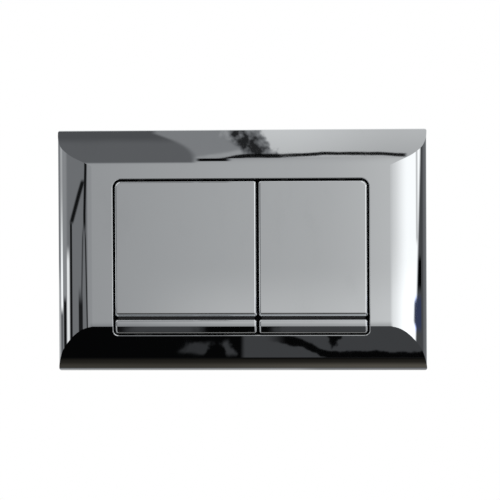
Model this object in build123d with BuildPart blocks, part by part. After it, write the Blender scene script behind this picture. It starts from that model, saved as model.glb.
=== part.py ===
from build123d import *
import os
from math import atan2, cos, degrees, hypot, radians, sin

# A flush plate with two buttons for a concealed cistern, in millimetres.
# X runs to the right, Z runs up, and the room is on the -Y side of the wall.
# The origin is the middle of the plate on the wall surface, half-way between the fixing bolts.

# Front plate: one thin moulding with rolled sides and sloped top and bottom borders
plate_width = 230.0
plate_height = 150.0
plate_depth = 14.0
plate_wall = 2.5
side_rim_height = 3.0
end_rim_height = 2.0
rim_edge_radius = 0.8
plate_corner_radius = 1.4
side_roll_width = 22.5
side_roll_edge_radius = 7.0
top_slope_width = 20.0
top_crease_radius = 9.0
bottom_slope_width = 19.4
bottom_slope_drop = 6.9
bottom_roll_width = 8.3
bottom_crease_radius = 2.0

# Opening for the buttons, and the collar that stiffens its edge
opening_side_margin = 35.4
opening_top_margin = 30.6
opening_bottom_margin = 22.6
opening_top_radius = 5.0
opening_bottom_radius = 3.0
opening_edge_radius = 0.6
collar_wall = 2.0
collar_depth = 4.0

# Ribs and snap pegs behind the front plate
rib_thickness = 1.6
rib_depth = 8.0
side_rib_z = 24.0
end_rib_spacing = 56.0
peg_radius = 2.6
peg_inset_x = 8.0
peg_inset_z = 21.0
peg_wall_gap = 0.6

# Buttons
button_side_gap = 1.1
button_top_gap = 1.2
button_bottom_gap = 1.0
divide_x = 10.4
divide_gap = 1.4
divide_corner_radius = 1.5
button_wall = 2.4
button_depth = 8.0
button_edge_radius = 1.3
button_rib = 1.8
groove_rise = 10.6
groove_width = 1.9
groove_depth = 3.6
groove_edge_radius = 2.2
groove_corner_radius = 1.6
groove_end_inset = 1.6
groove_web_lap = 1.6
stop_tab_width = 9.0
stop_tab_reach = 3.5
stop_tab_thickness = 2.0
stop_gap = 0.3
facing_tolerance = 0.01
press_angle = 5.0

# Hinges behind the top border
hinge_setback = 7.0
hinge_rise = 5.6
hinge_pin_radius = 1.5
hinge_pin_chamfer = 0.4
hinge_pin_overhang = 1.0
hinge_side_gap = 0.4
running_clearance = 0.05
ear_inset = 16.0
ear_thickness = 4.0
ear_radius = 3.4
ear_neck = 4.4
lug_thickness = 4.0
lug_radius = 3.8

# Push rods with their screw-on heads, return springs and guide bushes
rod_drop = 6.0
rod_radius = 3.0
rod_reach = 64.0
rod_tip_radius = 2.2
rod_tip_length = 5.0
rod_notch_depth = 0.5
rod_notch_width = 1.0
rod_notch_spacing = 16.0
boss_length = 11.0
boss_radius = 5.0
boss_gap = 0.3
head_radius = 7.5
head_thickness = 3.2
head_cap = 1.4
head_hub_radius = 4.6
head_hub_length = 3.5
head_grips = 8
grip_radius = 1.2
spring_length = 13.5
spring_radius = 6.0
spring_wire_radius = 0.5
spring_wire_sides = 4
spring_turns = 4
bush_radius = 5.5
bush_flange_radius = 8.5
bush_flange_thickness = 2.0
bush_length = 10.0
seat_clearance = 0.05

# Mounting frame: a black tray with a wall flange, a liner that reaches into the shaft and a
# back panel whose bars lie behind the gaps round the buttons and carry the rods
flange_inset = 9.0
flange_thickness = 2.5
flange_corner_radius = 6.0
tray_margin = 4.0
tray_corner_radius = 4.0
liner_wall = 2.5
panel_thickness = 3.0
rod_bar_height = 20.0
divide_bar_width = 36.0
edge_bar_width = 20.0
bar_rib_depth = 6.0
window_corner_radius = 3.0
socket_wall = 2.0
socket_height = 5.0
socket_clearance = 0.1

# Rubber buffers and the ledges that hold them
buffer_spacing = 16.0
buffer_radius = 3.5
buffer_height = 3.0
buffer_crown = 1.0
buffer_gap = 0.4
buffer_stem_radius = 1.5
buffer_stem_overhang = 2.0
ledge_width = 13.0
ledge_reach = 11.0
ledge_thickness = 2.5

# Fixing bolts with a thick shank in the shaft and a thinner end for the washer and thumb nut
bolt_inset = 10.0
bolt_shank_radius = 3.0
bolt_radius = 2.5
bolt_reach = 45.0
bolt_overhang = 1.2
bolt_chamfer = 0.6
bolt_slot_width = 1.0
bolt_slot_depth = 1.6
bolt_hole_clearance = 0.3
bolt_hole_length = 13.0
washer_radius = 7.2
washer_thickness = 1.0
nut_radius = 8.0
nut_thickness = 5.0
nut_grips = 6
nut_grip_radius = 2.0

# Places that follow from the sizes above
front_y = -plate_depth
half_width = plate_width / 2
half_height = plate_height / 2
top_crease_z = half_height - top_slope_width
bottom_roll_z = bottom_roll_width - half_height
bottom_crease_z = bottom_roll_z + bottom_slope_width
roll_start_x = half_width - side_roll_width
roll_drop = plate_depth - side_rim_height
roll_reach = side_roll_width - side_roll_edge_radius
roll_excess = roll_reach**2 + roll_drop**2 - side_roll_edge_radius**2
roll_front_radius = roll_excess / (2 * (roll_drop - side_roll_edge_radius))
roll_turn = degrees(atan2(roll_reach, roll_front_radius - roll_drop))
opening_left = opening_side_margin - half_width
opening_right = half_width - opening_side_margin
opening_top = half_height - opening_top_margin
opening_bottom = opening_bottom_margin - half_height
opening_middle_z = (opening_top + opening_bottom) / 2

button_top = opening_top - button_top_gap
button_bottom = opening_bottom + button_bottom_gap
button_back_y = front_y + button_depth
button_skin_y = front_y + button_wall
groove_z = opening_bottom + groove_rise
panel_bottom = groove_z + groove_width / 2
lip_top = groove_z - groove_width / 2
large_span = (opening_left + button_side_gap, divide_x - divide_gap / 2)
small_span = (divide_x + divide_gap / 2, opening_right - button_side_gap)
button_spans = {"large": large_span, "small": small_span}

hinge_y = front_y + hinge_setback
hinge_z = opening_top + hinge_rise
hinge_bore_radius = hinge_pin_radius + running_clearance
lug_offset = (ear_thickness + lug_thickness) / 2 + hinge_side_gap

rod_z = opening_middle_z - rod_drop
boss_tip_y = front_y + boss_length
head_front_y = boss_tip_y + boss_gap
rod_front_y = head_front_y + head_cap
head_back_y = head_front_y + head_thickness
bush_front_y = head_back_y + spring_length
panel_front_y = bush_front_y + bush_flange_thickness
panel_back_y = panel_front_y + panel_thickness

flange_width = plate_width - 2 * flange_inset
flange_height = plate_height - 2 * flange_inset
tray_left = opening_left - tray_margin
tray_right = opening_right + tray_margin
tray_top = opening_top + tray_margin
tray_bottom = opening_bottom - tray_margin
rod_bar_bottom = rod_z - rod_bar_height / 2
rod_bar_top = rod_z + rod_bar_height / 2
large_window = (tray_left + edge_bar_width, divide_x - divide_bar_width / 2)
small_window = (divide_x + divide_bar_width / 2, tray_right - edge_bar_width)
lower_window = (tray_bottom + edge_bar_width, rod_bar_bottom)
upper_window = (rod_bar_top, tray_top - edge_bar_width)
peg_x = flange_width / 2 - peg_inset_x
peg_z = flange_height / 2 - peg_inset_z
bolt_x = flange_width / 2 - bolt_inset
socket_bore_radius = peg_radius + socket_clearance

# A pressed button's lower edge stops just clear of its buffers
buffer_z = button_bottom + button_wall / 2
pressed_rise = (button_back_y - hinge_y) * cos(radians(press_angle))
pressed_swing = (hinge_z - buffer_z) * sin(radians(press_angle))
buffer_face_y = hinge_y + pressed_rise + pressed_swing + buffer_gap
ledge_front_y = buffer_face_y + buffer_height
ledge_back_y = ledge_front_y + ledge_thickness

# The stop tabs meet the inner face of the bottom slope
slope_rate = bottom_slope_drop / bottom_slope_width
slope_wall = plate_wall * hypot(1.0, slope_rate)
stop_tab_bottom = button_bottom - stop_tab_reach
stop_tab_drop = (bottom_crease_z - stop_tab_bottom) * slope_rate
stop_tab_front_y = front_y + stop_tab_drop + slope_wall + stop_gap

os.makedirs("parts", exist_ok=True)


def wall_plane(y):
    """Plane square to Y at the given depth, drawn in X and Z and facing the room."""
    return Plane.XZ.offset(-y)


def side_plane(x):
    """Plane square to X at the given place, drawn in Y and Z and facing right."""
    return Plane.YZ.offset(x)


def span_rectangle(low_x, high_x, low_y, high_y):
    """Rectangle between two pairs of limits."""
    with BuildSketch() as area:
        with Locations(((low_x + high_x) / 2, (low_y + high_y) / 2)):
            Rectangle(high_x - low_x, high_y - low_y)
    return area.sketch


def panel(left, right, bottom, top, radii):
    """Upright panel with a radius for each corner, anticlockwise from the bottom left one."""
    with BuildSketch() as outline:
        with BuildLine():
            FilletPolyline(
                (left, bottom), (right, bottom), (right, top), (left, top), radius=radii, close=True
            )
        make_face()
    return outline.sketch


def opening_outline(margin):
    """Outline of the button opening, widened on all sides by a margin."""
    lower = opening_bottom_radius + margin
    upper = opening_top_radius + margin
    return panel(
        opening_left - margin,
        opening_right + margin,
        opening_bottom - margin,
        opening_top + margin,
        (lower, lower, upper, upper),
    )


def tray_outline(margin):
    """Outline of the mounting frame's tray, widened on all sides by a margin."""
    corners = [tray_corner_radius + margin] * 4
    return panel(tray_left - margin, tray_right + margin, tray_bottom - margin, tray_top + margin, corners)


def roll_section(inset):
    """Level section of the front plate: a flat front that rolls back at each side in two arcs."""
    half = half_width - inset
    front = front_y + inset
    front_centre = (roll_start_x, front_y + roll_front_radius)
    edge_centre = (half_width - side_roll_edge_radius, -side_rim_height)
    with BuildSketch() as section:
        with BuildLine():
            Line((0, front), (roll_start_x, front))
            CenterArc(front_centre, roll_front_radius - inset, 270, roll_turn)
            CenterArc(edge_centre, side_roll_edge_radius - inset, 270 + roll_turn, 90 - roll_turn)
            Polyline((half, -side_rim_height), (half, 0), (0, 0))
            mirror(about=Plane.YZ)
        make_face()
    return section.sketch


def bottom_roll():
    """Rolled lower edge of the front plate's upright section, from the bottom slope to the rim."""
    slope_end = (front_y + bottom_slope_drop, bottom_roll_z)
    rim_end = (-end_rim_height, -half_height)
    return TangentArc(slope_end, rim_end, tangent=(bottom_slope_drop, -bottom_slope_width))


def slope_section():
    """Upright section of the front plate: a top slope, a flat front and a rolled bottom slope."""
    with BuildSketch() as section:
        with BuildLine():
            roll = bottom_roll()
            FilletPolyline(
                roll @ 0,
                (front_y, bottom_crease_z),
                (front_y, top_crease_z),
                (-end_rim_height, half_height),
                (0, half_height),
                radius=(bottom_crease_radius, top_crease_radius, rim_edge_radius),
            )
            Polyline((0, half_height), (0, -half_height), roll @ 1)
        make_face()
        rim_corner = section.vertices().sort_by_distance(roll @ 1)[0]
        fillet(rim_corner, rim_edge_radius)
    return section.sketch


def hollow_section():
    """Upright section of the space behind the front plate's skin, open to the wall."""
    with BuildSketch() as section:
        with BuildLine():
            roll = bottom_roll()
            Polyline(
                roll @ 0,
                (front_y, bottom_crease_z),
                (front_y, top_crease_z),
                (-end_rim_height, half_height),
                (plate_wall, half_height),
                (plate_wall, -half_height),
                roll @ 1,
            )
        make_face()
        offset(amount=-plate_wall, kind=Kind.INTERSECTION)
    return section.sketch


def turned(x, z, profile):
    """Round piece on an axis square to the wall, from (y, radius) pairs listed front to back."""
    edge = [(y, z + radius) for y, radius in profile]
    with BuildPart() as piece:
        with BuildSketch(side_plane(x)):
            with BuildLine():
                Polyline((profile[0][0], z), *edge, (profile[-1][0], z), close=True)
            make_face()
        revolve(axis=Axis((x, 0, z), (0, 1, 0)))
    return piece.part


def thumb_grip(x, z, radius, grips, scallop):
    """Round grip outline with scallops round its edge."""
    with BuildSketch() as outline:
        with Locations((x, z)):
            Circle(radius)
            with PolarLocations(radius, grips):
                Circle(scallop, mode=Mode.SUBTRACT)
    return outline.sketch


def ear_places(span):
    """Middle places of a button's two hinge ears."""
    return (span[0] + ear_inset, span[1] - ear_inset)


def lug_places(span):
    """Middle places of the two hinge lugs, just outside the ears."""
    left_ear, right_ear = ear_places(span)
    return (left_ear - lug_offset, right_ear + lug_offset)


def buffer_places(span):
    """Middle places of the two buffers behind a button's lower edge."""
    middle = (span[0] + span[1]) / 2
    return (middle - buffer_spacing / 2, middle + buffer_spacing / 2)


def front_rim(piece):
    """Edges of a button body's side walls that border its front."""
    walls = piece.faces().filter_by(lambda face: abs(face.normal_at().Y) < facing_tolerance)
    edges = walls.edges().filter_by(Axis.Y, reverse=True)
    return edges.filter_by(lambda edge: edge.center().Y < button_skin_y)


def finish(piece, name):
    """Label a piece and write it out."""
    piece.label = name
    export_step(piece, f"parts/{name}.step")


# Solid outer form of the front plate, with no opening yet
with BuildPart() as plate_form:
    with BuildSketch(Plane.XY.offset(-half_height)):
        add(roll_section(0.0))
    extrude(amount=plate_height)
    with BuildSketch(side_plane(-half_width)):
        add(slope_section())
    extrude(amount=plate_width, mode=Mode.INTERSECT)
    with BuildSketch(wall_plane(0)):
        RectangleRounded(plate_width, plate_height, plate_corner_radius)
    extrude(amount=plate_depth, mode=Mode.INTERSECT)

# Hollow behind the skin, less the collar, lugs, pegs and ribs that stay standing in it
with BuildPart() as plate_hollow:
    with BuildSketch(Plane.XY.offset(plate_wall - half_height)):
        add(roll_section(plate_wall))
    extrude(amount=plate_height - 2 * plate_wall)
    with BuildSketch(side_plane(-half_width)):
        add(hollow_section())
    extrude(amount=plate_width, mode=Mode.INTERSECT)
    with BuildSketch(wall_plane(front_y + collar_depth)):
        add(opening_outline(collar_wall))
    extrude(amount=collar_depth, mode=Mode.SUBTRACT)
    for span in button_spans.values():
        for lug_x in lug_places(span):
            with BuildSketch(side_plane(lug_x - lug_thickness / 2)):
                with Locations((hinge_y, hinge_z)):
                    Circle(lug_radius)
                add(span_rectangle(front_y, hinge_y, hinge_z - lug_radius, hinge_z + lug_radius))
            extrude(amount=lug_thickness, mode=Mode.SUBTRACT)
    with BuildSketch(wall_plane(-peg_wall_gap)):
        with GridLocations(2 * peg_x, 2 * peg_z, 2, 2):
            Circle(peg_radius)
    extrude(amount=plate_depth, mode=Mode.SUBTRACT)
    with BuildSketch(wall_plane(front_y + rib_depth)):
        for rib_z in (-side_rib_z, side_rib_z):
            low_z = rib_z - rib_thickness / 2
            high_z = rib_z + rib_thickness / 2
            add(span_rectangle(-half_width, opening_left, low_z, high_z))
            add(span_rectangle(opening_right, half_width, low_z, high_z))
        for rib_x in (-end_rib_spacing, 0, end_rib_spacing):
            low_x = rib_x - rib_thickness / 2
            high_x = rib_x + rib_thickness / 2
            add(span_rectangle(low_x, high_x, hinge_z + lug_radius, half_height))
            add(span_rectangle(low_x, high_x, -half_height, stop_tab_bottom - stop_gap))
    extrude(amount=rib_depth, mode=Mode.SUBTRACT)

with BuildPart() as bezel:
    add(plate_form.part)
    with BuildSketch(wall_plane(0)):
        add(opening_outline(0.0))
    extrude(amount=plate_depth, mode=Mode.SUBTRACT)
    opening_edges = bezel.edges(Select.LAST).filter_by(Axis.Y, reverse=True)
    fillet(opening_edges.filter_by(lambda edge: edge.center().Y < -side_rim_height), opening_edge_radius)
    add(plate_hollow.part, mode=Mode.SUBTRACT)
    with BuildSketch(side_plane(opening_left)):
        with Locations((hinge_y, hinge_z)):
            Circle(hinge_bore_radius)
    extrude(amount=opening_right - opening_left, mode=Mode.SUBTRACT)
finish(bezel.part, "bezel")

with BuildPart() as mounting_frame:
    with BuildSketch(wall_plane(0)):
        RectangleRounded(flange_width, flange_height, flange_corner_radius)
    extrude(amount=flange_thickness)
    with BuildSketch(wall_plane(panel_back_y)):
        add(tray_outline(liner_wall))
    extrude(amount=panel_back_y)
    with BuildSketch(wall_plane(panel_front_y)):
        add(tray_outline(0.0))
    extrude(amount=panel_front_y + flange_thickness, mode=Mode.SUBTRACT)
    with BuildSketch(wall_plane(panel_back_y)):
        for sides in (large_window, small_window):
            for ends in (lower_window, upper_window):
                add(panel(*sides, *ends, [window_corner_radius] * 4))
    extrude(amount=panel_thickness, mode=Mode.SUBTRACT)
    with BuildSketch(wall_plane(panel_back_y + bar_rib_depth)):
        for rib_z in (rod_bar_bottom, rod_bar_top - liner_wall):
            add(span_rectangle(tray_left, tray_right, rib_z, rib_z + liner_wall))
    extrude(amount=bar_rib_depth)
    for span in button_spans.values():
        for buffer_x in buffer_places(span):
            with BuildSketch(wall_plane(ledge_back_y)):
                low_x = buffer_x - ledge_width / 2
                high_x = buffer_x + ledge_width / 2
                add(span_rectangle(low_x, high_x, tray_bottom - liner_wall, tray_bottom + ledge_reach))
            extrude(amount=ledge_thickness)
            with BuildSketch(wall_plane(ledge_back_y)):
                with Locations((buffer_x, buffer_z)):
                    Circle(buffer_stem_radius + seat_clearance)
            extrude(amount=ledge_thickness, mode=Mode.SUBTRACT)
        with BuildSketch(wall_plane(panel_back_y)):
            with Locations(((span[0] + span[1]) / 2, rod_z)):
                Circle(bush_radius + seat_clearance)
        extrude(amount=panel_thickness, mode=Mode.SUBTRACT)
    with BuildSketch(wall_plane(-flange_thickness)):
        with GridLocations(2 * peg_x, 2 * peg_z, 2, 2):
            Circle(socket_bore_radius + socket_wall)
    extrude(amount=socket_height)
    with BuildSketch(wall_plane(0)):
        with GridLocations(2 * peg_x, 2 * peg_z, 2, 2):
            Circle(socket_bore_radius)
        with Locations((-bolt_x, 0), (bolt_x, 0)):
            SlotOverall(bolt_hole_length, 2 * (bolt_shank_radius + bolt_hole_clearance))
    extrude(amount=flange_thickness + socket_height, mode=Mode.SUBTRACT)
finish(mounting_frame.part, "mounting_frame")

for size, span in button_spans.items():
    left, right = span
    rod_x = (left + right) / 2
    outer_top_radius = opening_top_radius - button_side_gap
    outer_bottom_radius = opening_bottom_radius - button_bottom_gap
    if size == "large":
        top_radii = (outer_top_radius, divide_corner_radius)
        lip_radii = (outer_bottom_radius, divide_corner_radius, groove_corner_radius, groove_corner_radius)
    else:
        top_radii = (divide_corner_radius, outer_top_radius)
        lip_radii = (divide_corner_radius, outer_bottom_radius, groove_corner_radius, groove_corner_radius)

    # Lip below the groove, which bends back with the bottom slope
    with BuildPart() as lip:
        with BuildSketch(wall_plane(button_back_y)):
            add(panel(left, right, button_bottom, lip_top, lip_radii))
        extrude(amount=button_depth)
        add(plate_form.part, mode=Mode.INTERSECT)
        fillet(front_rim(lip), button_edge_radius)

    # Spaces inside the button, less its ribs
    with BuildPart() as pocket:
        with BuildSketch(wall_plane(button_back_y)):
            for low_z, high_z in ((panel_bottom, button_top), (button_bottom, lip_top)):
                inner_ends = (low_z + button_wall, high_z - button_wall)
                add(span_rectangle(left + button_wall, right - button_wall, *inner_ends))
        extrude(amount=button_depth - button_wall)
        with BuildSketch(wall_plane(button_back_y)):
            for ear_x in ear_places(span):
                low_x = ear_x - ear_thickness / 2
                add(span_rectangle(low_x, low_x + ear_thickness, button_bottom, button_top))
            add(span_rectangle(left, right, rod_z - button_rib / 2, rod_z + button_rib / 2))
        extrude(amount=button_depth, mode=Mode.SUBTRACT)

    with BuildPart() as button:
        with BuildSketch(wall_plane(button_back_y)):
            add(span_rectangle(left, right, panel_bottom, button_top))
        extrude(amount=button_depth)
        fillet(button.edges().filter_by(Axis.X).group_by(Axis.Z)[0].sort_by(Axis.Y)[0], groove_edge_radius)
        for corner, radius in enumerate(top_radii):
            top_corners = button.edges().filter_by(Axis.Y).group_by(Axis.Z)[-1]
            fillet(top_corners.sort_by(Axis.X)[-corner], radius)
        groove_corners = button.edges().filter_by(Axis.Y).group_by(Axis.Z)[0]
        rims = front_rim(button).filter_by(lambda edge: edge.center().Z > panel_bottom + facing_tolerance)
        fillet(rims + groove_corners, button_edge_radius)
        add(lip.part)
        with BuildSketch(wall_plane(button_back_y)):
            low_z = lip_top - groove_web_lap
            high_z = panel_bottom + groove_web_lap
            add(span_rectangle(left + groove_end_inset, right - groove_end_inset, low_z, high_z))
        extrude(amount=button_depth - groove_depth)
        add(pocket.part, mode=Mode.SUBTRACT)
        with BuildSketch(side_plane(rod_x)):
            with BuildLine():
                dome_y = boss_tip_y - boss_radius
                Polyline(
                    (boss_tip_y, rod_z),
                    (button_skin_y, rod_z),
                    (button_skin_y, rod_z + boss_radius),
                    (dome_y, rod_z + boss_radius),
                )
                CenterArc((dome_y, rod_z), boss_radius, 0, 90)
            make_face()
        revolve(axis=Axis((rod_x, 0, rod_z), (0, 1, 0)))
        for ear_x in ear_places(span):
            with BuildSketch(side_plane(ear_x - ear_thickness / 2)):
                with Locations((hinge_y, hinge_z)):
                    Circle(ear_radius)
                neck_y = hinge_y - ear_neck / 2
                add(span_rectangle(neck_y, neck_y + ear_neck, button_top - button_wall, hinge_z))
                with Locations((hinge_y, hinge_z)):
                    Circle(hinge_bore_radius, mode=Mode.SUBTRACT)
            extrude(amount=ear_thickness)
            with BuildSketch(wall_plane(stop_tab_front_y + stop_tab_thickness)):
                low_x = ear_x - stop_tab_width / 2
                high_x = ear_x + stop_tab_width / 2
                add(span_rectangle(low_x, high_x, stop_tab_bottom, button_bottom + button_wall))
            extrude(amount=stop_tab_thickness)
    finish(button.part, f"{size}_button")

    first_lug, last_lug = lug_places(span)
    pin_left = first_lug - lug_thickness / 2 - hinge_pin_overhang
    pin_right = last_lug + lug_thickness / 2 + hinge_pin_overhang
    with BuildPart() as hinge_pin:
        with BuildSketch(side_plane(pin_left)):
            with Locations((hinge_y, hinge_z)):
                Circle(hinge_pin_radius)
        extrude(amount=pin_right - pin_left)
        chamfer(hinge_pin.edges().filter_by(GeomType.CIRCLE), hinge_pin_chamfer)
    finish(hinge_pin.part, f"{size}_hinge_pin")

    # The rod is notched so that it can be cut to length
    rod_profile = [(rod_front_y, rod_radius)]
    notch_y = panel_front_y + bush_length
    while notch_y + rod_notch_spacing < rod_reach - rod_tip_length:
        notch_y += rod_notch_spacing
        rod_profile += [
            (notch_y - rod_notch_width, rod_radius),
            (notch_y - rod_notch_width / 2, rod_radius - rod_notch_depth),
            (notch_y, rod_radius),
        ]
    rod_profile += [
        (rod_reach - rod_tip_length, rod_radius),
        (rod_reach - rod_tip_length, rod_tip_radius),
        (rod_reach, rod_tip_radius),
    ]
    finish(turned(rod_x, rod_z, rod_profile), f"{size}_push_rod")

    with BuildPart() as rod_head:
        with BuildSketch(wall_plane(head_back_y)):
            add(thumb_grip(rod_x, rod_z, head_radius, head_grips, grip_radius))
        extrude(amount=head_thickness)
        hub_back_y = head_back_y + head_hub_length
        add(turned(rod_x, rod_z, [(head_back_y, head_hub_radius), (hub_back_y, head_hub_radius)]))
        bore_radius = rod_radius + seat_clearance
        bore = [(rod_front_y, bore_radius), (hub_back_y, bore_radius)]
        add(turned(rod_x, rod_z, bore), mode=Mode.SUBTRACT)
    finish(rod_head.part, f"{size}_rod_head")

    coil_height = spring_length - 2 * spring_wire_radius
    with BuildPart() as return_spring:
        with BuildLine() as coil:
            Helix(
                coil_height / spring_turns,
                coil_height,
                spring_radius,
                center=(rod_x, head_back_y + spring_wire_radius, rod_z),
                direction=(0, 1, 0),
            )
        with BuildSketch(Plane(origin=coil.line @ 0, z_dir=coil.line % 0)):
            RegularPolygon(spring_wire_radius, spring_wire_sides)
        sweep(path=coil.line, is_frenet=True)
    finish(return_spring.part, f"{size}_return_spring")

    with BuildPart() as guide_bush:
        add(
            turned(
                rod_x,
                rod_z,
                [
                    (bush_front_y, bush_flange_radius),
                    (panel_front_y, bush_flange_radius),
                    (panel_front_y, bush_radius),
                    (panel_front_y + bush_length, bush_radius),
                ],
            )
        )
        bore_radius = rod_radius + running_clearance
        bore = [(bush_front_y, bore_radius), (panel_front_y + bush_length, bore_radius)]
        add(turned(rod_x, rod_z, bore), mode=Mode.SUBTRACT)
    finish(guide_bush.part, f"{size}_guide_bush")

    for side, buffer_x in zip(("left", "right"), buffer_places(span)):
        buffer_profile = [
            (buffer_face_y, buffer_radius - buffer_crown),
            (buffer_face_y + buffer_crown, buffer_radius),
            (ledge_front_y, buffer_radius),
            (ledge_front_y, buffer_stem_radius),
            (ledge_back_y + buffer_stem_overhang, buffer_stem_radius),
        ]
        finish(turned(buffer_x, buffer_z, buffer_profile), f"{size}_{side}_buffer")

washer_front_y = -flange_thickness - washer_thickness
nut_front_y = washer_front_y - nut_thickness
bolt_front_y = nut_front_y - bolt_overhang
for side, fixing_x in (("left", -bolt_x), ("right", bolt_x)):
    with BuildPart() as fixing_bolt:
        bolt_profile = [
            (bolt_front_y, bolt_radius - bolt_chamfer),
            (bolt_front_y + bolt_chamfer, bolt_radius),
            (0, bolt_radius),
            (0, bolt_shank_radius),
            (bolt_reach - bolt_chamfer, bolt_shank_radius),
            (bolt_reach, bolt_shank_radius - bolt_chamfer),
        ]
        add(turned(fixing_x, 0, bolt_profile))
        with BuildSketch(wall_plane(bolt_front_y + bolt_slot_depth)):
            with Locations((fixing_x, 0)):
                Rectangle(2 * bolt_radius, bolt_slot_width)
        extrude(amount=bolt_slot_depth, mode=Mode.SUBTRACT)
    finish(fixing_bolt.part, f"{side}_fixing_bolt")

    with BuildPart() as washer:
        with BuildSketch(wall_plane(-flange_thickness)):
            with Locations((fixing_x, 0)):
                Circle(washer_radius)
                Circle(bolt_radius + bolt_hole_clearance, mode=Mode.SUBTRACT)
        extrude(amount=washer_thickness)
    finish(washer.part, f"{side}_washer")

    with BuildPart() as fixing_nut:
        with BuildSketch(wall_plane(washer_front_y)):
            add(thumb_grip(fixing_x, 0, nut_radius, nut_grips, nut_grip_radius))
            with Locations((fixing_x, 0)):
                Circle(bolt_radius + seat_clearance, mode=Mode.SUBTRACT)
        extrude(amount=nut_thickness)
    finish(fixing_nut.part, f"{side}_fixing_nut")
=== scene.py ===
import logging
import math
from dataclasses import dataclass, field
from enum import Enum
from typing import Any, Sequence

import bpy
import numpy as np
from mathutils import Matrix, Vector


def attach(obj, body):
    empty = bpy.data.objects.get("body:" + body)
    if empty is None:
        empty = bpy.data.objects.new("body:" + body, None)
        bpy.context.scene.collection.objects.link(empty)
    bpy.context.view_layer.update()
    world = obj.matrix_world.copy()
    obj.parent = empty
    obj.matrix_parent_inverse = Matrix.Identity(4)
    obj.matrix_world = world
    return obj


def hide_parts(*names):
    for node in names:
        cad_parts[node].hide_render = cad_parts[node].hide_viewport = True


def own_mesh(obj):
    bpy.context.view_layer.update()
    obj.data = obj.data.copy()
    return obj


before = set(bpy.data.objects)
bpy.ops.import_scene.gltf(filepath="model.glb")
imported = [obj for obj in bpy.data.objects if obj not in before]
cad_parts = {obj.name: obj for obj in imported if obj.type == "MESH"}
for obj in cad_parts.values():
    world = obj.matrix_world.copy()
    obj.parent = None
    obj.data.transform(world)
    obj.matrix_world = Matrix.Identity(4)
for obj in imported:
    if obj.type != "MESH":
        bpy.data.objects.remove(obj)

LOG = logging.getLogger("flush_plate")
MM = 0.001


class Side(Enum):
    """The two sides of the plate, with the sign of their X."""

    LEFT = -1
    RIGHT = 1


class Size(Enum):
    """The two flushes, with the middle of each push rod in X, in metres."""

    LARGE = -34.4 * MM
    SMALL = 44.8 * MM

    @property
    def word(self) -> str:
        """Name of this flush as the nodes spell it."""
        return self.name.lower()


class Term:
    """A node socket that takes part in Python arithmetic by adding Math nodes."""

    def __init__(self, graph: "Graph", socket: bpy.types.NodeSocket) -> None:
        """Wrap one output socket.

        Args:
            graph: the node tree that the socket is in.
            socket: the output to wrap.
        """
        self.graph = graph
        self.socket = socket

    def math(self, operation: str, *others: Any) -> "Term":
        """Add a Math node with this term first.

        Args:
            operation: name of the Math node's operation.
            others: the further operands, terms or numbers.

        Returns:
            The node's result.
        """
        operands = dict(enumerate((self, *others)))
        return self.graph.node("ShaderNodeMath", {"operation": operation}, operands)["Value"]

    def reflected(self, operation: str, first: float) -> "Term":
        """Add a Math node with a number before this term.

        Args:
            operation: name of the Math node's operation.
            first: the number that comes first.

        Returns:
            The node's result.
        """
        operands = {0: first, 1: self}
        return self.graph.node("ShaderNodeMath", {"operation": operation}, operands)["Value"]

    def __add__(self, other: Any) -> "Term":
        """Sum."""
        return self.math("ADD", other)

    def __radd__(self, other: float) -> "Term":
        """Sum with a number first."""
        return self.reflected("ADD", other)

    def __sub__(self, other: Any) -> "Term":
        """Difference."""
        return self.math("SUBTRACT", other)

    def __rsub__(self, other: float) -> "Term":
        """Difference with a number first."""
        return self.reflected("SUBTRACT", other)

    def __mul__(self, other: Any) -> "Term":
        """Product."""
        return self.math("MULTIPLY", other)

    def __rmul__(self, other: float) -> "Term":
        """Product with a number first."""
        return self.reflected("MULTIPLY", other)

    def __truediv__(self, other: Any) -> "Term":
        """Quotient."""
        return self.math("DIVIDE", other)

    def __rtruediv__(self, other: float) -> "Term":
        """Quotient with a number first."""
        return self.reflected("DIVIDE", other)

    def __neg__(self) -> "Term":
        """Opposite."""
        return self.reflected("SUBTRACT", 0.0)

    def __abs__(self) -> "Term":
        """Size without sign."""
        return self.math("ABSOLUTE")

    def rise(self, low: float, high: float) -> "Term":
        """Smooth step of this term.

        Args:
            low: value at and below which the step is 0.
            high: value at and above which the step is 1.

        Returns:
            The step, from 0 to 1.
        """
        limits = {"Value": self, "From Min": low, "From Max": high}
        settings = {"interpolation_type": "SMOOTHSTEP"}
        return self.graph.node("ShaderNodeMapRange", settings, limits)["Result"]

    def band(self, low: float, high: float, soft: float) -> "Term":
        """Soft-edged band of this term.

        Args:
            low: lower edge of the band, half-way up its slope.
            high: upper edge of the band, half-way down its slope.
            soft: width of each slope.

        Returns:
            1 inside the band, 0 outside it.
        """
        half = soft / 2
        return self.rise(low - half, low + half) - self.rise(high - half, high + half)

    def between(self, low: float, high: float) -> "Term":
        """Term kept between two limits."""
        return self.math("MAXIMUM", low).math("MINIMUM", high)

    def towards(self, share: "Term", other: Any) -> "Term":
        """Blend towards another value.

        Args:
            share: how far to go, from 0 to 1.
            other: the value reached at a share of 1.

        Returns:
            The blend.
        """
        return self + share * (other - self)


class Outputs:
    """A finished node, whose outputs are read by name as terms."""

    def __init__(self, graph: "Graph", node: bpy.types.Node) -> None:
        """Wrap a node.

        Args:
            graph: the node tree that the node is in.
            node: the node to wrap.
        """
        self.graph = graph
        self.made = node

    def __getitem__(self, name: str | int) -> Term:
        """Output socket of that name or number, as a term."""
        return Term(self.graph, self.made.outputs[name])


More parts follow.
